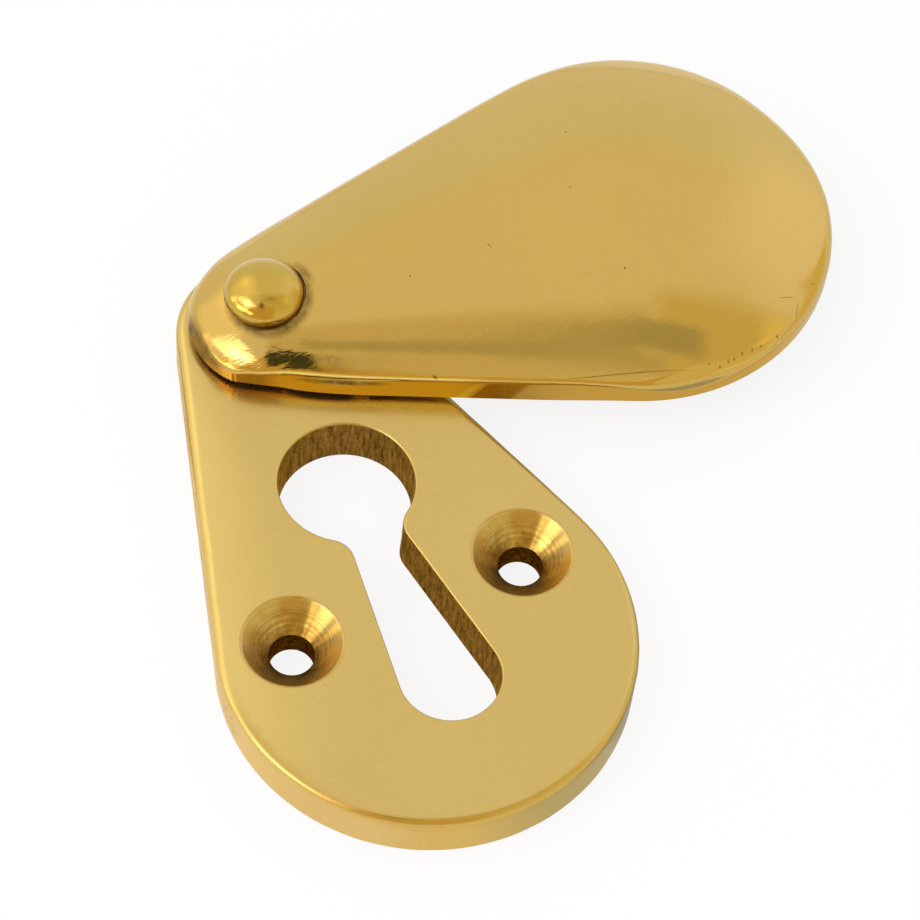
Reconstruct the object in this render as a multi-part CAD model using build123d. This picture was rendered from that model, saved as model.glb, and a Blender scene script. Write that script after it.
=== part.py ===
"""Covered keyhole escutcheon in cast and polished brass.

A pear-shaped back plate carries a keyhole and two countersunk screw holes. A domed cover of the same
outline turns on one rivet through the plate's narrow end and stands here swung aside.

Frame, in millimetres: the plate's back lies on z = 0 and z points out of the door. The origin is midway
between the screw holes, +Y runs towards the pivot and +X to the right.
"""
import os
from math import asin, cos, radians, sin, sqrt, tan

from build123d import *

# Back plate: two arcs and their common tangents
plate_thickness = 4.8
plate_big_radius = 17.5
plate_small_radius = 7.5
plate_arc_spacing = 33.1        # from one arc's centre to the other
big_arc_drop = 3.75             # big arc's centre below the line of the screw holes
plate_edge_round = 0.6

# Keyhole: a round for the key's shank over a slot that flares towards its rounded foot
key_round_radius = 5.8
key_round_rise = 12.2           # round's centre above the line of the screw holes
key_foot_radius = 4.25
key_foot_drop = 7.95            # foot's centre below the line of the screw holes
key_flare = 7.8                 # each side's lean from the middle line, degrees
key_corner_round = 2.2          # where the round runs into the slot
key_edge_bevel = 0.2

# Screw holes for 3.5 mm countersunk wood screws
screw_spacing = 21.0
screw_hole_diameter = 3.8
countersink_diameter = 8.5
countersink_angle = 90.0

# Swing cover: rim, dome and hollow underside
cover_big_radius = 17.9
cover_small_radius = 7.4
cover_big_reach = 33.7          # from the pivot to the big arc's centre
cover_small_reach = 0.9         # from the pivot to the small arc's centre
cover_open_angle = 83.3         # turn from hanging closed
cover_gap = 0.6                 # rim above the plate's face
rim_height_big = 2.2
rim_height_small = 1.8
dome_rise_big = 4.8             # crown above the rim's top at each arc's centre
dome_rise_small = 2.7
cover_edge_bevel = 0.3
cover_wall = 1.8
cover_rim_width = 2.2
hollow_reach = 14.5             # from the pivot to the hollow's narrow end centre
boss_diameter = 10.0

# Pivot rivet
shank_diameter = 3.5
head_diameter = 6.85
head_side = 0.55                # straight side under the head's dome
head_rise = 1.7
seat_depth = 0.2                # flat seat for the head, below the dome at the pivot
seat_clearance = 0.15           # seat's edge outside the head's edge
tail_diameter = 5.5
tail_depth = 1.0

# Running fits of the cover on the rivet
bore_clearance = 0.05           # radial
axial_clearance = 0.05          # at each end of the bore

# Heights and places that follow
pivot_y = plate_arc_spacing - big_arc_drop
rim_bottom = plate_thickness + cover_gap
boss_bottom = plate_thickness + axial_clearance
cut_over = 1.0                  # length by which cutting shapes pass a face


def cap_sphere_radius(edge_radius, rise):
    """Radius of the sphere whose cap has this edge radius and this rise."""
    return (edge_radius**2 + rise**2) / (2 * rise)


def pear(y_big, r_big, y_small, r_small):
    """Pear outline along Y: two arcs and the two tangents that join them."""
    lean = asin((r_big - r_small) / abs(y_small - y_big))
    x_big = r_big * cos(lean)
    x_small = r_small * cos(lean)
    y_big_end = y_big + r_big * sin(lean)
    y_small_end = y_small + r_small * sin(lean)
    return make_face([
        ThreePointArc((-x_big, y_big_end), (0, y_big - r_big), (x_big, y_big_end)),
        Line((x_big, y_big_end), (x_small, y_small_end)),
        ThreePointArc((x_small, y_small_end), (0, y_small + r_small), (-x_small, y_small_end)),
        Line((-x_small, y_small_end), (-x_big, y_big_end)),
    ])


def keyhole():
    """Keyhole outline: the slot's sides touch the foot's arc and run up into the round."""
    flare = radians(key_flare)
    half_at_round = key_foot_radius / cos(flare) - tan(flare) * (key_round_rise + key_foot_drop)
    slope = 1 + tan(flare)**2
    drop = (sqrt(key_round_radius**2 * slope - half_at_round**2) - tan(flare) * half_at_round) / slope
    x_neck = half_at_round + tan(flare) * drop
    y_neck = key_round_rise - drop
    x_foot = key_foot_radius * cos(flare)
    y_foot = key_foot_radius * sin(flare) - key_foot_drop
    outline = make_face([
        ThreePointArc((x_neck, y_neck), (0, key_round_rise + key_round_radius), (-x_neck, y_neck)),
        Line((-x_neck, y_neck), (-x_foot, y_foot)),
        ThreePointArc((-x_foot, y_foot), (0, -key_foot_drop - key_foot_radius), (x_foot, y_foot)),
        Line((x_foot, y_foot), (x_neck, y_neck)),
    ])
    return fillet(outline.vertices().group_by(Axis.Y)[-1], key_corner_round)


def turned(points):
    """Solid turned about Z from a closed outline of (radius, height) points."""
    outline = make_face(Polyline([(r, 0, z) for r, z in points], close=True))
    return revolve(outline, Axis.Z)


def screw_hole():
    """Cutter for one hole and its countersink, standing on the back plane."""
    hole = screw_hole_diameter / 2
    rim = countersink_diameter / 2
    lean = tan(radians(countersink_angle / 2))
    cone_start = plate_thickness - (rim - hole) / lean
    return turned([
        (0, -cut_over),
        (hole, -cut_over),
        (hole, cone_start),
        (rim + cut_over * lean, plate_thickness + cut_over),
        (0, plate_thickness + cut_over),
    ])


def rivet_hole():
    """Cutter for the rivet's hole, countersunk at the back for the spread tail."""
    return turned([
        (0, 0),
        (tail_diameter / 2, 0),
        (shank_diameter / 2, tail_depth),
        (shank_diameter / 2, plate_thickness + cut_over),
        (0, plate_thickness + cut_over),
    ])


def back_plate():
    outline = pear(-big_arc_drop, plate_big_radius, pivot_y, plate_small_radius)
    plate = extrude(outline, plate_thickness)
    plate = fillet(plate.faces().sort_by(Axis.Z)[-1].edges(), plate_edge_round)
    plate -= Pos(Z=-cut_over) * extrude(keyhole(), plate_thickness + 2 * cut_over)
    keyhole_edge = plate.faces().sort_by(Axis.Z)[-1].inner_wires()[0].edges()
    plate = chamfer(keyhole_edge, key_edge_bevel)
    plate -= Pos(X=-screw_spacing / 2) * screw_hole()
    plate -= Pos(X=screw_spacing / 2) * screw_hole()
    return plate - Pos(Y=pivot_y) * rivet_hole()


def dome(inset):
    """Skin of a cone running tangent between two spheres, drawn in by the inset."""
    r_big = cap_sphere_radius(cover_big_radius, dome_rise_big)
    r_small = cap_sphere_radius(cover_small_radius, dome_rise_small)
    big = Vector(0, -cover_big_reach, rim_bottom + rim_height_big + dome_rise_big - r_big)
    small = Vector(0, -cover_small_reach, rim_bottom + rim_height_small + dome_rise_small - r_small)
    along = (small - big).normalized()
    out = Vector(1, 0, 0).cross(along)
    lean = asin((r_big - r_small) / (small - big).length)

    def on(centre, radius, angle):
        return centre + (out * cos(angle) + along * sin(angle)) * (radius - inset)

    quarter = radians(90)
    section = make_face([
        ThreePointArc(on(big, r_big, -quarter), on(big, r_big, (lean - quarter) / 2), on(big, r_big, lean)),
        Line(on(big, r_big, lean), on(small, r_small, lean)),
        ThreePointArc(on(small, r_small, lean), on(small, r_small, (lean + quarter) / 2),
                      on(small, r_small, quarter)),
        Line(on(small, r_small, quarter), on(big, r_big, -quarter)),
    ])
    return revolve(section, Axis(big, along))


def domed_blank():
    """Solid cover: the pear's straight rim under the dome, their meeting edge bevelled."""
    outline = pear(-cover_big_reach, cover_big_radius, -cover_small_reach, cover_small_radius)
    height = rim_height_big + dome_rise_big + cut_over
    blank = Pos(Z=rim_bottom) * extrude(outline, height) & dome(0)
    walls = blank.faces().filter_by(lambda face: abs(face.normal_at().Z) < 0.01)
    crease = walls.edges().filter_by(lambda edge: edge.bounding_box().min.Z > rim_bottom + cover_edge_bevel)
    return chamfer(crease, cover_edge_bevel)


def hollow():
    """Space under the dome, leaving a flat rim and a solid narrow end."""
    growth = (cover_big_radius - cover_small_radius) / (cover_big_reach - cover_small_reach)
    r_narrow = cover_small_radius + growth * (hollow_reach - cover_small_reach) - cover_rim_width
    outline = pear(-cover_big_reach, cover_big_radius - cover_rim_width, -hollow_reach, r_narrow)
    height = cut_over + rim_height_big + dome_rise_big
    return Pos(Z=rim_bottom - cut_over) * extrude(outline, height) & dome(cover_wall)


def crown_at_pivot():
    """Height of the dome over the pivot, before the head's seat is cut."""
    r_small = cap_sphere_radius(cover_small_radius, dome_rise_small)
    fall = r_small - sqrt(r_small**2 - cover_small_reach**2)
    return rim_bottom + rim_height_small + dome_rise_small - fall


def swing_cover():
    seat = crown_at_pivot() - seat_depth
    cover = domed_blank() - hollow()
    cover += Pos(Z=boss_bottom) * extrude(Circle(boss_diameter / 2), rim_bottom - boss_bottom)
    cover -= Pos(Z=seat) * extrude(Circle(head_diameter / 2 + seat_clearance), dome_rise_big)
    cover -= extrude(Circle(shank_diameter / 2 + bore_clearance), seat + cut_over)
    return Pos(Y=pivot_y) * Rot(Z=cover_open_angle) * cover


def pivot_rivet():
    """Rivet with a low domed head; the spread tail fills the plate's countersink flush."""
    under_head = crown_at_pivot() - seat_depth + axial_clearance
    edge = under_head + head_side
    shank = shank_diameter / 2
    head = head_diameter / 2
    ball = cap_sphere_radius(head, head_rise)
    half_turn = asin(head / ball) / 2
    outline = make_face([
        Polyline((0, 0, edge + head_rise), (0, 0, 0), (tail_diameter / 2, 0, 0), (shank, 0, tail_depth),
                 (shank, 0, under_head), (head, 0, under_head), (head, 0, edge)),
        ThreePointArc((head, 0, edge),
                      (ball * sin(half_turn), 0, edge + head_rise - ball * (1 - cos(half_turn))),
                      (0, 0, edge + head_rise)),
    ])
    return Pos(Y=pivot_y) * revolve(outline, Axis.Z)


os.makedirs("parts", exist_ok=True)
export_step(back_plate(), "parts/back_plate.step")
export_step(swing_cover(), "parts/swing_cover.step")
export_step(pivot_rivet(), "parts/pivot_rivet.step")
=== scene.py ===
import math

import bmesh
import bpy
import numpy as np
from mathutils import Matrix, Vector
from mathutils.geometry import delaunay_2d_cdt


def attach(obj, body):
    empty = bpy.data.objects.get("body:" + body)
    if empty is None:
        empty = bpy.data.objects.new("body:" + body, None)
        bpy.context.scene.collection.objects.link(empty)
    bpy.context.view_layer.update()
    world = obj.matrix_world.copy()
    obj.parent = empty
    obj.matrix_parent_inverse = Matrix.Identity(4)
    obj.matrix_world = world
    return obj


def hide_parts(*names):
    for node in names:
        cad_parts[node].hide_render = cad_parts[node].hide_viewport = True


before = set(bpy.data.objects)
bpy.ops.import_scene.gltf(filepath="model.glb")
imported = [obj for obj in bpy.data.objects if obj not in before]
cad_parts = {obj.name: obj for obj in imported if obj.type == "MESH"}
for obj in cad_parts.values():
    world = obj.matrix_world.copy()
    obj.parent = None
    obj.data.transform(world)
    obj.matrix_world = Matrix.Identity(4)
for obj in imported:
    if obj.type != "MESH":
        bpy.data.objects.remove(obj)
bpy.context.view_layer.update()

print("frame loaded:", ", ".join(sorted(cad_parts)))

mm = 0.001
scene = bpy.context.scene
scene.view_settings.view_transform = "Standard"


# paths and grids are in millimetres; pieces are put in at metres

def arcPoints(centre, radius, start, stop, count=400):
    # points on a circle from one angle to another
    turn = np.linspace(start, stop, count)
    return np.column_stack([centre[0] + radius * np.cos(turn), centre[1] + radius * np.sin(turn)])


def evenPath(points, count, crowd=None):
    # closed line through the points, cut again into even steps of its length;
    # where a crowding is given, into even steps of length times crowding
    closed = np.vstack([points, points[:1]])
    steps = np.hypot(*np.diff(closed, axis=0).T)
    if crowd is not None:
        steps = steps * crowd(points)
    run = np.concatenate([[0], np.cumsum(steps)])
    at = np.linspace(0, run[-1], count, endpoint=False)
    return np.column_stack([np.interp(at, run, closed[:, 0]), np.interp(at, run, closed[:, 1])])


def outward(path):
    # quarter turn of the step between neighbours, on a path that runs anticlockwise
    step = np.roll(path, -1, axis=0) - np.roll(path, 1, axis=0)
    normal = np.column_stack([step[:, 1], -step[:, 0]])
    return normal / np.linalg.norm(normal, axis=1)[:, None]


def pearLean(s):
    # lean of a pear's tangents: the arcsine of radius change over distance
    return math.asin((s["bigRadius"] - s["smallRadius"]) / abs(s["smallY"] - s["bigY"]))


def pearPath(s, count):
    # two arcs and the tangents between them
    lean = pearLean(s)
    big = arcPoints((0, s["bigY"]), s["bigRadius"], math.pi - lean, 2 * math.pi + lean)
    small = arcPoints((0, s["smallY"]), s["smallRadius"], lean, math.pi - lean)
    return evenPath(np.vstack([big, small]), count)


def pearDepth(s, x, y):
    # way in from the outline: from the tangent beside the point, or past its ends from that end's arc
    lean = pearLean(s)
    side, rise = np.abs(x), y - s["bigY"]
    along = rise * math.cos(lean) - side * math.sin(lean)
    flank = s["bigRadius"] - side * math.cos(lean) - rise * math.sin(lean)
    small = s["smallRadius"] - np.hypot(x, y - s["smallY"])
    return np.where(along < 0, s["bigRadius"] - np.hypot(x, rise),
                    np.where(along > (s["smallY"] - s["bigY"]) * math.cos(lean), small, flank))


def insideLoops(points, loops):
    # inside where a ray to the right crosses the loops an odd number of times
    start = np.vstack(loops)
    step = np.vstack([np.roll(loop, -1, axis=0) for loop in loops]) - start
    over = points[:, 1:] - start[:, 1]
    crossed = (over < 0) != (over < step[:, 1])
    meets = start[:, 0] + over * step[:, 0] / np.where(step[:, 1] == 0, 1, step[:, 1])
    return (crossed & (meets > points[:, :1])).sum(axis=1) % 2 == 1


def fillLevel(loops, level, spacing, rowPitch=0.866, rimGap=0.4):
    # triangles between loops on one level, over rows of points set half a step apart;
    # rows lie rowPitch steps apart, and no point lies within rimGap steps of a loop
    counts = [len(loop) for loop in loops]
    starts = np.cumsum([0] + counts[:-1])
    rounds = [np.column_stack([np.arange(n), (np.arange(n) + 1) % n]) for n in counts]
    edges = np.vstack([pairs + start for pairs, start in zip(rounds, starts)])
    rim = np.vstack(loops)
    low, high = rim.min(axis=0), rim.max(axis=0)
    rows = np.arange(low[1], high[1], rowPitch * spacing)
    x, y = np.meshgrid(np.arange(low[0], high[0], spacing), rows)
    x[1::2] += spacing / 2
    inner = np.column_stack([x.ravel(), y.ravel()])
    inner = inner[insideLoops(inner, loops)]
    gap = np.hypot(inner[:, :1] - rim[:, 0], inner[:, 1:] - rim[:, 1]).min(axis=1)
    plan = np.vstack([rim, inner[gap > rimGap * spacing]])
    found = delaunay_2d_cdt([Vector(p) for p in plan.tolist()], edges.tolist(), [], 1, 1e-7)
    spots, triangles = np.array([tuple(p) for p in found[0]]), np.array(found[2])

    # a triangle with all its corners on one loop may lie in a hole
    owner = np.full(len(spots), -1)
    owner[:len(rim)] = np.repeat(np.arange(len(loops)), counts)
    owner = owner[triangles]
    doubtful = np.flatnonzero((owner[:, 0] >= 0) & (owner == owner[:, :1]).all(axis=1))
    within = insideLoops(spots[triangles[doubtful]].mean(axis=1), loops)
    triangles = np.delete(triangles, doubtful[~within], axis=0)
    return np.column_stack([spots, np.full(len(spots), level)]), triangles


def carryProfile(path, inward, height):
    # each row runs round the path, moved in along the path's normal, at the row's height;
    # both may vary along the path
    inward, height = np.broadcast_arrays(inward, height)
    shape = (inward.shape[0], len(path))
    plan = path[None] - np.broadcast_to(inward, shape)[..., None] * outward(path)[None]
    return np.dstack([plan, np.broadcast_to(height, shape)])


def turnProfile(radius, height, centre, count):
    # each row is a circle about an upright axis, with the profile's radius at the profile's height
    turn = np.linspace(0, 2 * math.pi, count, endpoint=False)[None]
    radius = np.asarray(radius, float)[:, None]
    level = np.broadcast_to(np.asarray(height, float)[:, None], (len(radius), count))
    return np.dstack([centre[0] + radius * np.cos(turn), centre[1] + radius * np.sin(turn), level])


def ramp(value, start, stop):
    # 0 before start and 1 past stop, with a soft start and end; stop may lie below start
    share = np.clip((value - start) / (stop - start), 0, 1)
    return share * share * (3 - 2 * share)


def bell(value, middle, span):
    # 1 at the middle, falling off both ways by the square of the distance in spans
    return np.exp(-((value - middle) / span) ** 2)


def grainField(rows, columns, reach, seed):
    # seeded noise, blurred over the reach in rows and columns and brought to unit spread
    noise = np.random.default_rng(seed).standard_normal((rows, columns))
    down = np.fft.fftfreq(rows)[:, None] * reach[0]
    along = np.fft.fftfreq(columns)[None] * reach[1]
    keep = np.exp(-2 * math.pi ** 2 * (down ** 2 + along ** 2))
    field = np.fft.ifft2(np.fft.fft2(noise) * keep).real
    return field / field.std()


def ringQuads(rows, columns):
    # quads between neighbouring rows, closed round the columns
    low = np.arange(rows - 1)[:, None] * columns
    high = low + columns
    here = np.arange(columns)[None]
    there = (here + 1) % columns
    return np.stack([low + here, low + there, high + there, high + here], -1).reshape(-1, 4)


def buildPiece(name, rings, flats, materials, sheets=(), sharpAngle=40):
    # rings are (grid, material), sheets (points, triangles, material) and flats (height, material);
    # every edge still open at a flat's height is filled, holes kept
    weld = 1e-4 * mm  # points this close are one
    sizes = [grid.shape[0] * grid.shape[1] for grid, _ in rings]
    starts = np.cumsum([0] + sizes + [len(spots) for spots, _, _ in sheets])
    points = [grid.reshape(-1, 3) for grid, _ in rings] + [spots for spots, _, _ in sheets]
    faces = [ringQuads(*grid.shape[:2]) + start for (grid, _), start in zip(rings, starts)]
    faces += [triangles + start for (_, triangles, _), start in zip(sheets, starts[len(rings):])]
    slots = [slot for _, slot in rings] + [slot for _, _, slot in sheets]
    finish = np.concatenate([np.full(len(part), slot) for part, slot in zip(faces, slots)])
    mesh = bpy.data.meshes.new(name)
    mesh.from_pydata((np.vstack(points) * mm).tolist(), [], sum((part.tolist() for part in faces), []))
    mesh.polygons.foreach_set("material_index", finish.astype(np.int32))
    work = bmesh.new()
    work.from_mesh(mesh)
    bmesh.ops.remove_doubles(work, verts=work.verts, dist=weld)
    for height, slot in flats:
        level = height * mm
        rim = [e for e in work.edges
               if e.is_boundary and all(abs(v.co.z - level) < weld for v in e.verts)]
        filled = bmesh.ops.triangle_fill(work, edges=rim, use_beauty=True, normal=(0, 0, 1))["geom"]
        for face in (g for g in filled if isinstance(g, bmesh.types.BMFace)):
            face.material_index = slot
    bmesh.ops.recalc_face_normals(work, faces=work.faces)
    openEdges = sum(not e.is_manifold for e in work.edges)
    work.to_mesh(mesh)
    work.free()
    mesh.shade_smooth()
    mesh.set_sharp_from_angle(angle=math.radians(sharpAngle))
    for material in materials:
        mesh.materials.append(material)
    piece = bpy.data.objects.new(name, mesh)
    scene.collection.objects.link(piece)
    mesh.calc_loop_triangles()
    print(f"{name}: {len(mesh.loop_triangles)} triangles, {openEdges} open edges")
    return piece


def addLayer(piece, name, kind, field, values):
    # named value at each vertex, for the piece's own materials
    layer = piece.data.attributes.new(name, kind, "POINT")
    layer.data.foreach_set(field, values.astype(np.float32).ravel())


def vertexSpots(piece):
    # vertex places in millimetres
    spots = np.empty(len(piece.data.vertices) * 3)
    piece.data.vertices.foreach_get("co", spots)
    return spots.reshape(-1, 3) / mm


noiseRange = (0.3, 0.7)  # most of a noise lies between these


def startMaterial(name):
    # new material with its node tree and its shader
    material = bpy.data.materials.new(name)
    material.use_nodes = True
    tree = material.node_tree
    return material, tree, tree.nodes["Principled BSDF"]


def setInput(tree, socket, value):
    # another node's output is linked, anything else is set
    if isinstance(value, bpy.types.NodeSocket):
        tree.links.new(value, socket)
    else:
        socket.default_value = value


def addNode(tree, kind, settings=None, **inputs):
    # new shader node with its properties and its inputs, which go by name or as i and their number
    node = tree.nodes.new("ShaderNode" + kind)
    for key, value in (settings or {}).items():
        setattr(node, key, value)
    for key, value in inputs.items():
        numbered = key[0] == "i" and key[1:].isdigit()
        setInput(tree, node.inputs[int(key[1:]) if numbered else key], value)
    return node


def objectSpot(tree):
    # place on the piece, in metres
    return addNode(tree, "TexCoord").outputs["Object"]


def layerAt(tree, name, output):
    # one of the piece's own named values
    return addNode(tree, "Attribute", {"attribute_name": name}).outputs[output]


def doMath(tree, operation, first, second=0.0, third=0.0):
    node = addNode(tree, "Math", {"operation": operation}, i0=first, i1=second, i2=third)
    return node.outputs[0]


def blended(tree, first, second, firstShare=0.6):
    # the first by its share, the second by the rest
    return doMath(tree, "MULTIPLY_ADD", first, firstShare, doMath(tree, "MULTIPLY", second, 1 - firstShare))


def spread(tree, value, low, high, newLow, newHigh):
    # value from one range to another, held at the ends
    node = addNode(tree, "MapRange", {"clamp": True}, i0=value,
                   i1=low, i2=high, i3=newLow, i4=newHigh)
    return node.outputs[0]


def mixTint(tree, share, first, second):
    # from the first tint to the second by the share
    tints = [v if isinstance(v, bpy.types.NodeSocket) else (*v, 1) for v in (first, second)]
    node = addNode(tree, "Mix", {"data_type": "RGBA"}, i0=share, i6=tints[0], i7=tints[1])
    return node.outputs[2]


def noiseAt(tree, spot, scale, detail=3.0, rough=0.5):
    node = addNode(tree, "TexNoise", Vector=spot, Scale=scale, Detail=detail, Roughness=rough)
    return node.outputs["Fac"]


def stretched(tree, spot, scale, turn=0.0):
    # turned back about the upright first, then drawn out or in along each axis
    node = addNode(tree, "Mapping", {"vector_type": "TEXTURE"}, Vector=spot,
                   Scale=[1 / v for v in scale], Rotation=(0, 0, math.radians(turn)))
    return node.outputs[0]


def markAt(tree, spot, x, y, z, turn, long, wide, high=0.25):
    # oval mark about a point: 1 inside, 0 outside
    local = addNode(tree, "Mapping", {"vector_type": "TEXTURE"}, Vector=spot,
                    Location=(x * mm, y * mm, z * mm), Rotation=(0, 0, math.radians(turn)),
                    Scale=(long * mm, wide * mm, high * mm)).outputs[0]
    away = addNode(tree, "VectorMath", {"operation": "LENGTH"}, i0=local).outputs["Value"]
    return spread(tree, away, 0.5, 1, 1, 0)


def nearTo(tree, spot, place, inner, outer):
    # 1 within the inner distance of a place, 0 past the outer one, all in millimetres
    node = addNode(tree, "VectorMath", {"operation": "DISTANCE"}, i0=spot,
                   i1=tuple(v * mm for v in place))
    return spread(tree, node.outputs["Value"], inner * mm, outer * mm, 1, 0)


def bumpFrom(tree, height, depth, under=None):
    # relief of the depth in millimetres, over what lies under it
    below = {} if under is None else {"Normal": under}
    return addNode(tree, "Bump", Height=height, Distance=depth * mm, Strength=1.0, **below).outputs[0]


def showBrass(tree, shader, look, tint, rough, normal):
    # tint, gloss and relief go to the shader, with the tint of its grazing edges
    for name, value in (("Base Color", tint), ("Roughness", rough), ("Normal", normal),
                        ("Metallic", look.get("metallic", 1.0)), ("Specular Tint", (*look["edgeTint"], 1))):
        setInput(tree, shader.inputs[name], value)


# what all polished brass has alike
polishLook = dict(
    dirtAndShadeScale=900, strokeScale=480, strokeStretch=3, pitEdge=0.04, fullWithin=0.4, dullness=0.35)


def polishedBrass(name, look):
    # buffed brass: cloudy and grainy tint, smeared gloss, fine buffing lines, a soft ripple,
    # pits, marks, dirty places, and painted light and shade from named layers, patches and rings
    alike = polishLook
    material, tree, shader = startMaterial(name)
    spot = objectSpot(tree)
    cloud = spread(tree, noiseAt(tree, spot, look["cloudScale"], 4), *noiseRange, 0, 1)
    grain = spread(tree, noiseAt(tree, spot, look["grainScale"], 2, 0.7), *noiseRange, 0, 0.5)
    tint = mixTint(tree, doMath(tree, "MULTIPLY_ADD", cloud, 0.5, grain), look["tint"], look["tintDeep"])
    # named layers paint light and shade into the tint: sheens, highlights and dark reflection bands
    for layer, layerTint in look.get("layers", ()):
        tint = mixTint(tree, layerAt(tree, layer, "Fac"), tint, layerTint)

    # pits in a few cells, more of them at a worn place, and single marks
    cells = addNode(tree, "TexVoronoi", {"feature": "F1"}, Vector=spot, Scale=look["pitScale"])
    chosen = addNode(tree, "SeparateColor", i0=cells.outputs["Color"]).outputs[0]
    worn = look.get("worn")
    if worn:
        wornShare = nearTo(tree, spot, worn["place"], alike["fullWithin"] * worn["reach"], worn["reach"])
        chosen = doMath(tree, "MULTIPLY_ADD", wornShare, worn["pits"], chosen)
    reach = spread(tree, chosen, look["pitShare"], 1, 0, look["pitReach"])
    inside = doMath(tree, "SUBTRACT", reach, cells.outputs["Distance"])
    pit = spread(tree, inside, 0, alike["pitEdge"], 0, 1)
    for mark in look.get("marks", ()):
        pit = doMath(tree, "MAXIMUM", pit, markAt(tree, spot, *mark))

    # cloudy painted shade in patches and in rings about given places, partly smudges and sooty grime, and
    # flecks of wear at the worn place
    dirtAndShade = 0.0
    for patch in look.get("shadeAndSmudges", ()):
        dirtAndShade = doMath(tree, "MAXIMUM", dirtAndShade, markAt(tree, spot, *patch))
    for place, near, far in look.get("sootAndShade", ()):
        dirtAndShade = doMath(tree, "MAXIMUM", dirtAndShade, nearTo(tree, spot, place, near, far))
    cloudy = spread(tree, noiseAt(tree, spot, alike["dirtAndShadeScale"], 4, 0.7), 0.35, 0.65, 0.5, 1)
    dirtAndShade = doMath(tree, "MULTIPLY", dirtAndShade, cloudy)
    if worn:
        fleck = noiseAt(tree, spot, worn["fleckScale"], 3, 0.7)
        fleck = spread(tree, fleck, 0.5, 0.6, 0, worn["fleckShare"])
        dirtAndShade = doMath(tree, "MAXIMUM", dirtAndShade, doMath(tree, "MULTIPLY", wornShare, fleck))
    tint = mixTint(tree, dirtAndShade, tint, look["dirtAndShadeTint"])
    tint = mixTint(tree, pit, tint, look["pitTint"])

    # gloss from smears and buffing lines, duller in pits, flecks and the painted shade
    along = stretched(tree, spot, (1, look["lineStretch"], 1), look["lineTurn"])
    lines = noiseAt(tree, along, look["lineScale"], 3, 0.6)
    smear = noiseAt(tree, spot, look["smearScale"], 5, 0.6)
    rough = spread(tree, blended(tree, smear, lines), *noiseRange, *look["roughness"])
    rough = doMath(tree, "MULTIPLY_ADD", doMath(tree, "MAXIMUM", pit, dirtAndShade), alike["dullness"], rough)

    # ripple, buffing lines, strokes about their places, and pits
    normal = bumpFrom(tree, noiseAt(tree, spot, look["rippleScale"], 2), look["rippleDepth"])
    normal = bumpFrom(tree, lines, look["lineDepth"], normal)
    for place, reach, turn, depth in look.get("strokes", ()):
        near = nearTo(tree, spot, place, alike["fullWithin"] * reach, reach)
        drawn = stretched(tree, spot, (1, alike["strokeStretch"], 1), turn)
        stroke = noiseAt(tree, drawn, alike["strokeScale"], 3, 0.6)
        normal = bumpFrom(tree, doMath(tree, "MULTIPLY", near, stroke), depth, normal)
    normal = bumpFrom(tree, doMath(tree, "SUBTRACT", 1.0, pit), look["pitDepth"], normal)
    showBrass(tree, shader, look, tint, rough, normal)
    return material


def sawnBrass(name, look):
    # raw brown wall: upright streaks, speckle and a grainy bump
    material, tree, shader = startMaterial(name)
    spot = objectSpot(tree)
    upright = stretched(tree, spot, (1, 1, look["streakFlatten"]))
    streak = noiseAt(tree, upright, look["streakScale"], 4, 0.65)
    speck = noiseAt(tree, spot, look["speckScale"], 4, 0.7)
    share = spread(tree, blended(tree, streak, speck), 0.36, 0.66, 0, 1)
    tint = mixTint(tree, share, look["tintDeep"], look["tint"])
    rough = spread(tree, share, 0, 1, *look["roughness"])
    normal = bumpFrom(tree, speck, look["speckDepth"], bumpFrom(tree, streak, look["streakDepth"]))
    showBrass(tree, shader, look, tint, rough, normal)
    return material


def turnedBrass(name, look):
    # turned cone: rings about each screw hole, found from the distance to the nearer hole's axis
    material, tree, shader = startMaterial(name)
    spot = objectSpot(tree)
    parts = addNode(tree, "SeparateXYZ", i0=spot).outputs
    across = doMath(tree, "SUBTRACT", doMath(tree, "ABSOLUTE", parts[0]), look["holeAcross"] * mm)
    flat = addNode(tree, "CombineXYZ", i0=across, i1=parts[1]).outputs[0]
    radius = addNode(tree, "VectorMath", {"operation": "LENGTH"}, i0=flat).outputs["Value"]
    rings = addNode(tree, "TexNoise", {"noise_dimensions": "1D"}, W=radius,
                    Scale=look["ringScale"], Detail=4.0, Roughness=0.7).outputs["Fac"]
    share = spread(tree, rings, *noiseRange, 0, 1)
    tint = mixTint(tree, share, look["tintDeep"], look["tint"])

    # blotchy sooty darkening and painted shade, strongest at the hole's edge and thinning out from it
    sootAndShade = spread(tree, radius, look["sootAndShadeFrom"] * mm, look["sootAndShadeTo"] * mm, 1, 0)
    blotch = spread(tree, noiseAt(tree, spot, look["blotchScale"], 4, 0.7), 0.4, 0.62, 0.1, 1.5)
    sootAndShade = doMath(tree, "MULTIPLY", sootAndShade, doMath(tree, "MULTIPLY", blotch, look["sootAndShadeShare"]))
    tint = mixTint(tree, sootAndShade, tint, look["sootAndShadeTint"])
    rough = spread(tree, share, 0, 1, *look["roughness"])
    showBrass(tree, shader, look, tint, rough, bumpFrom(tree, rings, look["ringDepth"]))
    setInput(tree, shader.inputs["Anisotropic"], look["anisotropy"])
    setInput(tree, shader.inputs["Tangent"], layerAt(tree, "downSlope", "Vector"))
    return material


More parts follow.
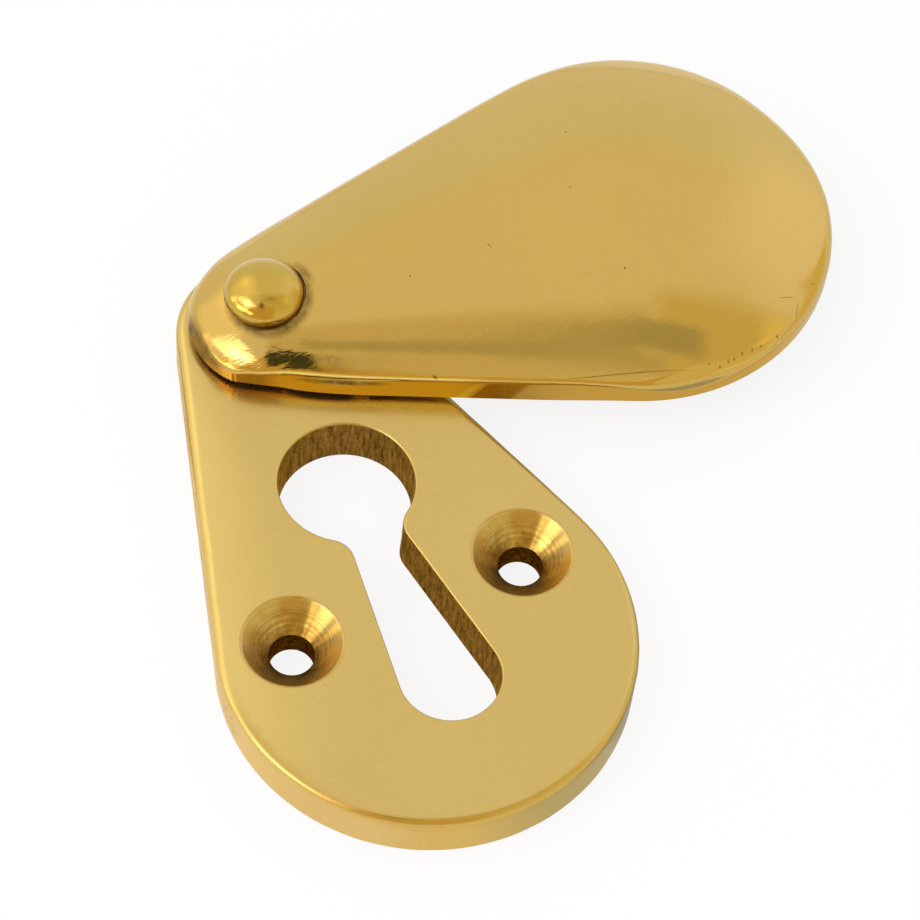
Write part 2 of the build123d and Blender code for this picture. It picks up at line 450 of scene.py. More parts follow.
plateLook = dict(
    tint=(0.65, 0.465, 0.148), tintDeep=(0.60, 0.42, 0.126), edgeTint=(0.88, 0.78, 0.56),
    cloudScale=70, grainScale=2600, smearScale=160, roughness=(0.22, 0.30),
    lineScale=420, lineStretch=7, lineTurn=25, lineDepth=0.0016, rippleScale=160, rippleDepth=0.007,
    pitScale=520, pitShare=0.9985, pitReach=0.13, pitTint=(0.20, 0.11, 0.03), pitDepth=0.03,
    worn=dict(place=(-17.4, -3.4, 2.2), reach=2.4, pits=0.2, fleckScale=3000, fleckShare=0.6),
    dirtAndShadeTint=(0.3, 0.2, 0.05),
    # painted light: a paler sheen towards the left edge, and a dark reflection band along the front of the
    # rounded edge
    layers=[("leftSheen", (0.74, 0.53, 0.165)), ("edgeShadeBand", (0.60, 0.395, 0.10))])

keyWallLook = dict(
    tint=(0.55, 0.325, 0.09), tintDeep=(0.09, 0.053, 0.015), edgeTint=(0.75, 0.58, 0.32),
    streakScale=3000, streakFlatten=0.16, streakDepth=0.05, speckScale=3600, speckDepth=0.05,
    roughness=(0.65, 0.45))

# screw bore: a rough wall with its tint darkened almost to black as painted shade in the bore
shadedBoreLook = dict(
    tint=(0.19, 0.10, 0.012), tintDeep=(0.04, 0.02, 0.002), edgeTint=(0.45, 0.27, 0.08),
    streakScale=1800, streakFlatten=1.0, streakDepth=0.02, speckScale=3600, speckDepth=0.03,
    roughness=(0.7, 0.5))

sinkLook = dict(
    tint=(0.66, 0.465, 0.145), tintDeep=(0.49, 0.32, 0.085), edgeTint=(0.5, 0.33, 0.1),
    ringScale=5200, ringDepth=0.003, roughness=(0.27, 0.21), anisotropy=0.88, holeAcross=10.5,
    # darkening towards each hole: sooty grime, and painted shade deep in the cone
    blotchScale=700, sootAndShadeFrom=2.0, sootAndShadeTo=4.2, sootAndShadeShare=0.62, sootAndShadeTint=(0.24, 0.12, 0.02))

# pairs for ramp are start and stop, in millimetres across (x) or along (y), or in degrees round the big end
plateSizes = dict(
    thickness=4.8, bigRadius=17.49, bigY=-3.75, smallRadius=7.5, smallY=29.35, outlineCount=720,
    edgeRound=0.7, edgeRoundDrift=0.05, driftReach=14, edgeCrisp=0.28, edgeCrispAngle=200, edgeCrispSpan=30,
    edgeRows=11, wallRows=12, wallDrift=0.015, wallWaves=20, waveDrift=3, backBreak=0.15, flatStrip=0.15,
    bandDepth=0.3, bandWide=0.32, bandTop=1.2, bandShift=0.15, bandTurn=(225, 200),
    bandStart=(165, 190), bandStop=(318, 293), paleReach=4.5, paleAcross=(-4, -10), paleAlong=(-14, -2),
    sag=0.03, sagLeft=0.17, sagAcross=(-1, -10), sagReach=7.0, faceStep=0.7,
    keyRoundY=12.2, keyRoundRadius=5.8, keyFootY=-7.95, keyFootRadius=4.25, keyFlare=7.8, keyCorner=2.2,
    keyEdge=0.17, keyEdgeDrift=0.10, nickReach=8, keyCurlRows=6, keyRows=34, keyCount=900, keyDraft=0.10,
    keyGrain=0.03, ridgeShare=0.7, ridgeReach=2.2, grainShare=0.6, grainReach=2.5, grainFade=8,
    holeAcross=10.5, holeRadius=1.9, boreRows=5,
    sinkRadius=4.2, sinkRows=72, sinkCount=144, sinkLip=(0.08, 0.02),
    groovePitch=0.21, grooveDepth=0.0007, grooveSway=1.7, swayRate=5, grooveFade=10,
    pivotRadius=1.75, pivotCount=96, tailRadius=2.75, tailDepth=1.0)


def keyholePath(s, count):
    # round, corner arcs, leaning slot sides and foot; a corner arc's centre lies its radius off the
    # slot's side, and that radius plus the round's from the round's centre
    flare = math.radians(s["keyFlare"])
    side = np.array([math.cos(flare), math.sin(flare)])
    upSide = np.array([-math.sin(flare), math.cos(flare)])
    foot, top = np.array([0, s["keyFootY"]]), np.array([0, s["keyRoundY"]])
    corner = s["keyCorner"]
    start = foot - top + (s["keyFootRadius"] + corner) * side
    half = start @ upSide
    rise = -half - math.sqrt(half ** 2 - start @ start + (s["keyRoundRadius"] + corner) ** 2)
    centre = start + top + rise * upSide
    toTop = math.atan2(*(top - centre)[::-1])
    fromTop = math.atan2(*(centre - top)[::-1])
    rightRound = arcPoints(top, s["keyRoundRadius"], fromTop, math.pi / 2)
    rightCorner = arcPoints(centre, corner, math.pi + flare, toTop)
    rightFoot = arcPoints(foot, s["keyFootRadius"], -math.pi / 2, flare)
    right = np.vstack([rightFoot, rightCorner, rightRound])
    left = right[::-1] * [-1, 1]
    return evenPath(np.vstack([right, left[1:-1]]), count)


def endAngle(x, y, middleY):
    # direction from an arc's centre, in degrees from 0 to 360
    return np.degrees(np.arctan2(y - middleY, x)) % 360


def buildPlate(s):
    # outer wall: the outline carried up from the back, then in over the rounded edge by a quarter circle
    top, strip = s["thickness"], s["flatStrip"]
    path = pearPath(s, s["outlineCount"])
    drift = grainField(1, len(path), (0, s["driftReach"]), 3)
    edge = s["edgeRound"] + s["edgeRoundDrift"] * np.abs(drift)
    edge -= s["edgeCrisp"] * bell(endAngle(*path.T, s["bigY"]), s["edgeCrispAngle"], s["edgeCrispSpan"])
    quarter = np.linspace(0, math.pi / 2, s["edgeRows"])[:, None]
    wall = np.linspace(0, 1, s["wallRows"])[1:-1, None]
    low, none = s["backBreak"], np.zeros_like(edge)
    inward = np.vstack([none + low + strip, none + low, none, wall * none,
                        edge * (1 - np.cos(quarter)), edge + strip])
    height = np.vstack([none, none, none + low, low + wall * (top - edge - low),
                        top - edge * (1 - np.sin(quarter)), none + top])
    wave = np.linspace(0, 2 * math.pi * s["wallWaves"], len(path), endpoint=False) + s["waveDrift"] * drift
    inward[2:-1] += s["wallDrift"] * (1 + np.sin(wave)) / 2 * (height[2:-1] < top - 1e-6)
    outer = carryProfile(path, inward, height)

    # keyhole: curled over its edge, then down with a draft; upright ridges and a grain fade at both ends
    key = keyholePath(s, s["keyCount"])
    count = len(key)
    nick = s["keyEdge"] * (1 + s["keyEdgeDrift"] * grainField(1, count, (0, s["nickReach"]), 5))
    curl = np.linspace(0, math.pi / 2, s["keyCurlRows"])[:, None]
    down = np.linspace(0, 1, s["keyRows"])[1:, None]
    grain = s["ridgeShare"] * grainField(1, count, (0, s["ridgeReach"]), 6)
    grain = grain + s["grainShare"] * grainField(len(down), count, (s["grainReach"], s["grainReach"]), 7)
    fade = np.minimum(1, np.minimum(down, 1 - down) * s["grainFade"])
    grow = np.vstack([nick + strip, nick * (1 - np.sin(curl)),
                      s["keyGrain"] * grain * fade - s["keyDraft"] * down])
    level = np.vstack([0 * nick + top, top - nick * (1 - np.cos(curl)), (top - nick) * (1 - down)])
    keyWall = carryProfile(key, -grow, level)

    # countersinks: a softened lip, a cone with fine turned grooves, then the bore
    cone = np.linspace(0, 1, s["sinkRows"])
    deep = s["sinkRadius"] - s["holeRadius"]
    slant = cone * deep
    sway = s["grooveSway"] * np.sin(s["swayRate"] * slant)
    groove = s["grooveDepth"] * np.sin(2 * math.pi * slant / s["groovePitch"] + sway)
    groove *= np.minimum(1, np.minimum(cone, 1 - cone) * s["grooveFade"])
    bored = s["boreRows"]
    radius = np.concatenate([s["sinkRadius"] + np.array([strip, *s["sinkLip"]]),
                             (s["sinkRadius"] - slant - groove)[2:], np.full(bored, s["holeRadius"])])
    depth = np.concatenate([[top, top, top - s["sinkLip"][1]], (top - slant + groove)[2:],
                            np.linspace(top - deep, 0, bored + 1)[1:]])
    sinks = [turnProfile(radius, depth, (side * s["holeAcross"], 0), s["sinkCount"]) for side in (-1, 1)]

    pivot = turnProfile([s["tailRadius"], s["pivotRadius"], s["pivotRadius"]], [0, s["tailDepth"], top],
                        (0, s["smallY"]), s["pivotCount"])
    materials = [polishedBrass("plateBrass", plateLook), sawnBrass("keyholeWallBrass", keyWallLook),
                 turnedBrass("countersinkBrass", sinkLook), sawnBrass("screwBoreBrass", shadedBoreLook)]
    curled = s["keyCurlRows"]
    rings = [(outer, 0), (keyWall[:curled + 1], 0), (keyWall[curled:], 1), (pivot, 0)]
    rings += [(sink[:-bored], 2) for sink in sinks] + [(sink[-bored - 1:], 3) for sink in sinks]
    loops = [grid[..., :2] for grid in (outer[-1], keyWall[0], pivot[-1], sinks[0][0], sinks[1][0])]
    sheet, triangles = fillLevel(loops, top, s["faceStep"])

    # the face falls away by the square of the nearness to the outline, most on the left;
    # what lies below it follows
    for grid in [ring for ring, _ in rings] + [sheet]:
        x, y = grid[..., 0], grid[..., 1]
        most = s["sag"] + (s["sagLeft"] - s["sag"]) * ramp(x, *s["sagAcross"])
        fall = most * np.clip(1 - pearDepth(s, x, y) / s["sagReach"], 0, 1) ** 2
        grid[..., 2] *= 1 - fall / top
    plate = buildPiece("backPlate", rings, [(0, 0)], materials, [(sheet, triangles, 0)])

    # direction down each cone, for the turned finish
    spots = vertexSpots(plate)
    x, y = spots[:, 0], spots[:, 1]
    offset = np.column_stack([np.abs(x) - s["holeAcross"], y])
    offset /= np.maximum(np.linalg.norm(offset, axis=1), 1e-6)[:, None]
    slope = np.column_stack([offset[:, 0] * np.sign(x), offset[:, 1], np.ones(len(spots))])
    addLayer(plate, "downSlope", "FLOAT_VECTOR", "vector", slope)

    # painted sheen, paler towards the left edge, and a painted dark reflection along the front of the
    # rounded edge that also tones down its highlight
    depth, angle = pearDepth(s, x, y), endAngle(x, y, s["bigY"])
    pale = bell(depth, 0, s["paleReach"]) * ramp(x, *s["paleAcross"]) * ramp(y, *s["paleAlong"])
    addLayer(plate, "leftSheen", "FLOAT", "value", pale)
    # the band is a painted dark reflection on the rounded edge, set further in on the left
    inset = s["bandDepth"] + s["bandShift"] * ramp(angle, *s["bandTurn"])
    band = bell(depth, inset, s["bandWide"]) * (spots[:, 2] > top - s["bandTop"])
    band *= ramp(angle, *s["bandStart"]) * ramp(angle, *s["bandStop"])
    addLayer(plate, "edgeShadeBand", "FLOAT", "value", band)
    return plate


backPlate = buildPlate(plateSizes)
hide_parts("back_plate")
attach(backPlate, "plate")


coverLook = dict(
    tint=(0.64, 0.425, 0.108), tintDeep=(0.59, 0.385, 0.092), edgeTint=(1, 1, 1),
    cloudScale=60, grainScale=2600, smearScale=140, roughness=(0.07, 0.12),
    lineScale=420, lineStretch=7, lineTurn=3, lineDepth=0.003, rippleScale=400, rippleDepth=0.012,
    pitScale=620, pitShare=0.996, pitReach=0.14, pitTint=(0.25, 0.15, 0.035), pitDepth=0.014,
    marks=[  # x, y, z, turn, half length, half width and, where it differs, half height
        (30.91, 33.66, 11.34, 0, 0.12, 0.1), (28.24, 27.71, 12.04, 20, 0.11, 0.09),
        (11.92, 25.53, 10.69, 0, 0.11, 0.1), (28.95, 18.51, 11.44, 0, 0.14, 0.11),
        (19.35, 25.30, 11.35, -72, 0.4, 0.06), (33.18, 8.15, 7.92, 70, 0.2, 0.1),
        (34.05, 8.30, 7.97, 80, 0.22, 0.07), (34.63, 8.29, 7.95, 75, 0.16, 0.09),
        (35.50, 8.50, 8.06, 60, 0.2, 0.1), (36.50, 8.55, 8.0, 70, 0.2, 0.07),
        (37.40, 8.60, 7.86, 30, 0.2, 0.08), (39.25, 9.00, 7.8, 50, 0.2, 0.1),
        (32.32, 8.63, 8.19, 0, 0.1, 0.09), (41.6, 11.79, 8.67, -8, 1.1, 0.03, 0.5),
        (42.07, 10.64, 8.03, 55, 1.2, 0.03, 0.5), (44.7, 12.5, 8.02, -36, 0.6, 0.05),
        (10.40, 17.04, 7.74, -45, 0.3, 0.13)],
    # painted shade and reflections, darkened and dulled: the rivet head's dark mirrored image beside it
    # with a smudge, the shaded tip rim, a dark mirrored line under the near crease and a thin dark line
    # along the crease towards the big end
    shadeAndSmudges=[
        (4.0, 29.6, 9.8, 100, 1.9, 0.75, 0.6), (-6.1, 28.7, 6.3, 93, 4.4, 1.3, 1.6),
        (3.3, 20.35, 6.85, -28, 4.6, 0.7, 0.42), (25.2, 10.65, 8.12, -19.5, 7.2, 0.05, 0.6)],
    # a painted shade ring round the rivet head where it sits in the dome; the tint on this line darkens all
    # these patches
    dirtAndShadeTint=(0.18, 0.105, 0.025), sootAndShade=[((0.25, 28.92, 9.8), 3.45, 4.0)],
    strokes=[((-3.0, 24.2, 8.3), 6.0, -14, 0.035)],
    # painted light: a paler sheen on the near filed rim and a highlight along its crease
    layers=[("filedRimSheen", (0.96, 0.77, 0.18)), ("creaseHighlight", (0.80, 0.60, 0.18))])

castLook = dict(
    tint=(0.50, 0.34, 0.11), tintDeep=(0.26, 0.16, 0.045), edgeTint=(0.8, 0.65, 0.35),
    streakScale=420, streakFlatten=1.0, streakDepth=0.06, speckScale=2200, speckDepth=0.05,
    roughness=(0.6, 0.45), metallic=0.9)

# in the cover's own frame: pivot at the origin, big end towards -y
coverSizes = dict(
    openAngle=83.3, pivot=(0, 29.35), bigY=-33.7, bigRadius=17.9, smallY=-0.9, smallRadius=7.4,
    rimBottom=5.4, bossBottom=4.85, rimBig=2.2, rimSmall=1.8, riseBig=4.8, riseSmall=2.7,
    bevel=0.26, bevelSoft=0.8, bevelWide=0.7, bevelAngle=178, bevelSpan=13, bevelReach=0.9, bevelRows=7,
    pull=0.35, pullSoft=0.95, crispAcross=(2.5, -2.5), crispAlong=(-36, -28),
    wall=1.8, rimWidth=2.2, hollowY=-14.5, hollowCount=300,
    roofEdge=0.9, roofEdgeRows=6, roofRows=30, roofFall=0.5, lipWide=0.2, lipRise=0.1, climbRows=8,
    castGrain=0.03, castReach=(1.5, 3), castWithin=(0.02, 0.99),
    bossRadius=5.0, bossBreak=0.1, boreRadius=1.8, boreDepth=1,
    seatRadius=3.575, seatDepth=0.2, seatRows=14, seatGap=0.004,
    polishDrift=0.012,
    polishWaves=[(0.43, 0.21, 0.6), (0.17, -0.38, 2.1)],  # radians a millimetre across and along, and start
    bendY=-2.0, bendSlope=2.5, bendSoft=0.3,
    nearAcross=(-3, -6), draft=0.22, draftStart=(2.5, -0.5), draftStop=(-30, -22),
    tipDraft=0.4, tipDraftAngle=98, tipDraftSpan=18, bulge=0.14, bulgeY=-3.5, bulgeSpan=3,
    footDrop=0.2, dropStart=(-3, -8), dropStop=(-28, -20), footLift=0.18, liftAlong=(-1, 1),
    footBreak=0.12, rimStrip=0.3, rimRows=13,
    tipFlatFacing=(-0.901, 0.434), tipFlatAt=6.56, tipSoft=0.03, tipSoftMore=0.25, tipSoftReach=5,
    tipCorner=(-5.0, 4.6), cornerCrowd=2, cornerReach=3.0,
    cornerMark=0.05, cornerMarkAt=(-0.4, 0.0, 0.4), markWide=0.09, markReach=1.2, markAcross=(-0.6, -0.8),
    outlineDips=[  # y of the arc's centre, angle and span in degrees, depth
        (-33.7, 295, 18, 0.42), (-33.7, 10, 14, 0.28), (-0.9, 40, 20, 0.32)],
    denseCount=6000, outlineCount=500, domeRows=96,
    filedStart=(3, 0), filedStop=(-17, -13), filedBelow=(0.28, 0.43),
    creaseStart=(0, 0.05), creaseStop=(0.32, 0.24))


def domeHeight(s, x, y, inset=0.0):
    # top over (x, y) of the skin that a cone makes between two spheres: the touching sphere lies at the
    # share of the way between them at which the skin's equation has a double root; past either end the
    # end sphere holds
    def ball(edge, rise):
        return (edge ** 2 + rise ** 2) / (2 * rise)

    bigBall, smallBall = ball(s["bigRadius"], s["riseBig"]), ball(s["smallRadius"], s["riseSmall"])
    bigZ = s["rimBottom"] + s["rimBig"] + s["riseBig"] - bigBall
    smallZ = s["rimBottom"] + s["rimSmall"] + s["riseSmall"] - smallBall
    stepY, stepZ, change = s["smallY"] - s["bigY"], smallZ - bigZ, smallBall - bigBall
    span = stepY ** 2 + stepZ ** 2 - change ** 2
    big, small = bigBall - inset, smallBall - inset
    fromBig = y - s["bigY"]
    lead = fromBig * stepY + big * change
    a = 1 - stepZ ** 2 / span
    b = -2 * stepZ * lead / span
    c = x ** 2 + fromBig ** 2 - big ** 2 - lead ** 2 / span
    onCone = (-b + np.sqrt(np.maximum(b ** 2 - 4 * a * c, 0))) / (2 * a)
    share = (lead + onCone * stepZ) / span
    onBig = bigZ + np.sqrt(np.maximum(big ** 2 - x ** 2 - fromBig ** 2, 0))
    onSmall = smallZ + np.sqrt(np.maximum(small ** 2 - x ** 2 - (y - s["smallY"]) ** 2, 0))
    return np.where(share < 0, onBig, np.where(share > 1, onSmall, bigZ + onCone))


def polishWave(s, x, y):
    # slow hand-polished unevenness between -1 and 0: the mean of slanting waves, less 1, halved
    waves = [np.sin(across * x + along * y + start) for across, along, start in s["polishWaves"]]
    return (sum(waves) / len(waves) - 1) / 2


def coverTop(s, x, y):
    # the dome with its polishing, bent down a little beyond a line across the narrow end
    beyond = s["bendSoft"] * np.logaddexp(0, (y - s["bendY"]) / s["bendSoft"])
    bend = math.tan(math.radians(s["bendSlope"])) * beyond
    return domeHeight(s, x, y) + s["polishDrift"] * polishWave(s, x, y) - bend


def coverOutline(s):
    # pear with hand-finished places: shallow dips by angle, a flat at the tip and file marks at its corner
    corner, facing = np.array(s["tipCorner"]), np.array(s["tipFlatFacing"])

    def nearCorner(points, reach):
        return np.exp(-((points - corner) ** 2).sum(axis=1) / reach ** 2)

    path = evenPath(pearPath(s, s["denseCount"]), s["outlineCount"],
                    lambda p: 1 + s["cornerCrowd"] * nearCorner(p, s["cornerReach"]))
    normal = outward(path)
    inward = np.zeros(len(path))
    for centreY, angle, span, depth in s["outlineDips"]:
        around = np.degrees(np.arctan2(path[:, 1] - centreY, path[:, 0])) - angle
        inward += depth * bell((around + 180) % 360 - 180, 0, span)
    path = path - inward[:, None] * normal
    along = (corner - path) @ np.array([facing[1], -facing[0]])
    soften = s["tipSoft"] + s["tipSoftMore"] * ramp(along, 0, s["tipSoftReach"])
    over = soften * np.logaddexp(0, (path @ facing - s["tipFlatAt"]) / soften)
    path = path - over[:, None] * facing
    step = (path - corner) @ np.array(s["markAcross"])
    cuts = bell(step[:, None], np.array(s["cornerMarkAt"]), s["markWide"]).sum(axis=1)
    mark = s["cornerMark"] * nearCorner(path, s["markReach"]) * cuts
    return path - mark[:, None] * outward(path)


def buildCover(s):
    # one grid round the pivot: up the bore, out over seat and dome, then down bevel and rim;
    # the hollow has its own
    path = coverOutline(s)
    normal = outward(path)
    x, y = path.T
    crisp = ramp(x, *s["crispAcross"]) * ramp(y, *s["crispAlong"])
    bevel = s["bevelSoft"] + (s["bevel"] - s["bevelSoft"]) * crisp
    bevel += s["bevelWide"] * bell(endAngle(x, y, s["bigY"]), s["bevelAngle"], s["bevelSpan"])
    pullShare = (s["pullSoft"] + (s["pull"] - s["pullSoft"]) * crisp)[:, None]

    # the rim leans in by its draft on the near side and at the tip;
    # its foot swells, drops and lifts on the way
    nearSide = ramp(x, *s["nearAcross"])
    draft = s["draft"] * nearSide * ramp(y, *s["draftStart"]) * ramp(y, *s["draftStop"])
    draft += s["tipDraft"] * bell(endAngle(x, y, s["smallY"]), s["tipDraftAngle"], s["tipDraftSpan"])
    upper = path - draft[:, None] * normal
    foot = path + (s["bulge"] * nearSide * bell(y, s["bulgeY"], s["bulgeSpan"]))[:, None] * normal
    footDrop = s["footDrop"] * nearSide * ramp(y, *s["dropStart"]) * ramp(y, *s["dropStop"])
    footDrop -= s["footLift"] * ramp(y, *s["liftAlong"])

    # dome on rays from the pivot: seat first, then out to the bevel's inner line
    inner = upper - (s["bevelReach"] * bevel)[:, None] * normal
    reach = np.linalg.norm(inner, axis=1)
    ray = inner / reach[:, None]
    seatRows = np.linspace(s["boreRadius"], s["seatRadius"], s["seatRows"])[:, None] * np.ones_like(reach)
    domeShare = np.linspace(0, 1, s["domeRows"])[:, None]
    domeStart = s["seatRadius"] + s["seatGap"]
    domeRows = domeStart + domeShare * (reach - domeStart)

    def lifted(distance):
        x, y = distance * ray[:, 0], distance * ray[:, 1]
        return np.dstack([x, y, coverTop(s, x, y)])

    seat = float(domeHeight(s, np.array(0.0), np.array(0.0))) - s["seatDepth"]
    seatGrid = lifted(seatRows)
    seatGrid[..., 2] = np.minimum(seatGrid[..., 2], seat)
    domeGrid = lifted(domeRows)

    # bevel: a curve from the dome to the rim, pulled part of the way towards the crease they would meet in
    crease = np.column_stack([upper, coverTop(s, upper[:, 0], upper[:, 1])])
    rimTop = crease - np.column_stack([np.zeros((len(path), 2)), bevel])
    middle = 0.5 * (domeGrid[-1] + rimTop)
    pull = middle + pullShare * (crease - middle)
    t = np.linspace(0, 1, s["bevelRows"])[1:, None, None]
    bevelGrid = (1 - t) ** 2 * domeGrid[-1] + 2 * t * (1 - t) * pull + t ** 2 * rimTop
    rimShare = np.linspace(0, 1, s["rimRows"])[1:, None, None]
    rimFoot = np.column_stack([foot, s["rimBottom"] + s["footBreak"] - footDrop])
    rimGrid = rimTop + rimShare * (rimFoot - rimTop)
    under = carryProfile(foot, np.array([[s["footBreak"]], [s["rimStrip"]]]),
                         s["rimBottom"] - np.outer([1, 0], footDrop))

    # boss under the pivot, then up the bore
    def circle(radius, level):
        return np.column_stack([radius * ray, np.full(len(ray), level)])[None]

    boss = [circle(s["bossRadius"], s["rimBottom"]),
            circle(s["bossRadius"], s["bossBottom"] + s["bossBreak"]),
            circle(s["bossRadius"] - s["bossBreak"], s["bossBottom"]),
            circle(s["boreRadius"], s["bossBottom"]),
            circle(s["boreRadius"], seat - s["boreDepth"])]
    outside = np.concatenate(boss + [seatGrid, domeGrid, bevelGrid, rimGrid, under])

    # hollow: wall up from the flat rim, then the inner dome drawn in to one point
    growth = (s["bigRadius"] - s["smallRadius"]) / (s["smallY"] - s["bigY"])
    narrow = s["smallRadius"] + growth * (s["smallY"] - s["hollowY"]) - s["rimWidth"]
    inside = dict(bigY=s["bigY"], bigRadius=s["bigRadius"] - s["rimWidth"],
                  smallY=s["hollowY"], smallRadius=narrow)
    hollow = pearPath(inside, s["hollowCount"])
    centre = np.array([0, (s["bigY"] + s["hollowY"]) / 2])
    edge = s["roofEdge"]
    share = np.append(np.linspace(1, edge, s["roofEdgeRows"]), np.linspace(edge, 0, s["roofRows"])[1:])
    share = share[:, None, None]
    plan = centre + share * (hollow - centre)
    roof = domeHeight(s, plan[..., 0], plan[..., 1], s["wall"])
    roof -= s["roofFall"] * np.clip((share[..., 0] - edge) / (1 - edge), 0, 1) ** 2
    rough = (share[..., 0] > s["castWithin"][0]) * (share[..., 0] < s["castWithin"][1])
    roof += s["castGrain"] * grainField(*roof.shape, s["castReach"], 11) * rough
    roofGrid = np.dstack([plan, roof])
    lip = carryProfile(hollow, np.array([[-s["lipWide"]], [0.0]]),
                       np.array([[s["rimBottom"]], [s["rimBottom"] + s["lipRise"]]]))
    climb = np.linspace(0, 1, s["climbRows"])[1:, None, None]
    wallGrid = lip[1] + climb * (roofGrid[0] - lip[1])
    hollowGrid = np.concatenate([lip, wallGrid, roofGrid[1:]])

    turn = math.radians(s["openAngle"])
    spin = np.array([[math.cos(turn), -math.sin(turn)], [math.sin(turn), math.cos(turn)]])
    for grid in (outside, hollowGrid):
        grid[..., :2] = grid[..., :2] @ spin.T + s["pivot"]
    materials = [polishedBrass("coverBrass", coverLook), sawnBrass("coverInsideBrass", castLook)]
    cover = buildPiece("swingCover", [(outside, 0), (hollowGrid, 1)], [(s["rimBottom"], 0)], materials)

    # along the near side: the filed rim below the dome painted paler and yellower as a painted sheen, and a
    # painted highlight along the crease between them
    spots = vertexSpots(cover)
    x, y = ((spots[:, :2] - s["pivot"]) @ spin).T
    below = coverTop(s, x, y) - spots[:, 2]
    flank = ramp(x, *s["nearAcross"]) * ramp(y, *s["filedStart"]) * ramp(y, *s["filedStop"])
    addLayer(cover, "filedRimSheen", "FLOAT", "value", flank * ramp(below, *s["filedBelow"]))
    # a painted highlight along the crease
    crease = ramp(below, *s["creaseStart"]) * ramp(below, *s["creaseStop"])
    addLayer(cover, "creaseHighlight", "FLOAT", "value", flank * crease)
    return cover


swingCover = buildCover(coverSizes)
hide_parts("swing_cover")
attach(swingCover, "cover")


rivetLook = dict(
    tint=(0.605, 0.40, 0.078), tintDeep=(0.545, 0.35, 0.062), edgeTint=(1, 1, 1),
    cloudScale=200, grainScale=2600, smearScale=400, roughness=(0.13, 0.19),
    lineScale=900, lineStretch=6, lineTurn=40, lineDepth=0.001, rippleScale=300, rippleDepth=0.006,
    pitScale=700, pitShare=0.985, pitReach=0.1, pitTint=(0.22, 0.12, 0.03), pitDepth=0.01,
    # a dark band round the foot of the head, painted shade where the head meets the cover
    shadeAndSmudges=[(0, 29.35, 9.85, 0, 7, 7, 0.55)], dirtAndShadeTint=(0.20, 0.11, 0.02),
    strokes=[((0, 29.35, 11.5), 6.0, -10, 0.02)])

rivetSizes = dict(
    pivot=(0, 29.35), tailRadius=2.75, tailDepth=1.0, shankRadius=1.75, headUnder=9.715, headRadius=3.425,
    headBreak=0.08, headSide=0.75, headRise=1.5, headPower=2.4, edgeSoft=0.5,
    sideRows=4, softRows=7, topRows=40, count=144)


def buildRivet(s):
    # tail, shank, head side and a top that falls from its crown by a power of the radius
    under, head, soft, nick = s["headUnder"], s["headRadius"], s["edgeSoft"], s["headBreak"]
    rim = under + s["headSide"]
    topRadius = np.linspace(head - soft, 0, s["topRows"])
    topLevel = rim + s["headRise"] * (1 - (topRadius / head) ** s["headPower"])
    t = np.linspace(0, 1, s["softRows"])[1:-1]
    softRadius = (1 - t) ** 2 * head + 2 * t * (1 - t) * head + t ** 2 * topRadius[0]
    softLevel = (1 - t) ** 2 * (rim - soft) + 2 * t * (1 - t) * rim + t ** 2 * topLevel[0]
    radius = np.concatenate([[0, s["tailRadius"], s["shankRadius"], s["shankRadius"], head - nick],
                             np.full(s["sideRows"], head), softRadius, topRadius])
    level = np.concatenate([[0, 0, s["tailDepth"], under, under],
                            np.linspace(under + nick, rim - soft, s["sideRows"]), softLevel, topLevel])
    grid = turnProfile(radius, level, s["pivot"], s["count"])
    return buildPiece("pivotRivet", [(grid, 0)], [], [polishedBrass("rivetBrass", rivetLook)])


pivotRivet = buildRivet(rivetSizes)
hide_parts("pivot_rivet")
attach(pivotRivet, "plate")


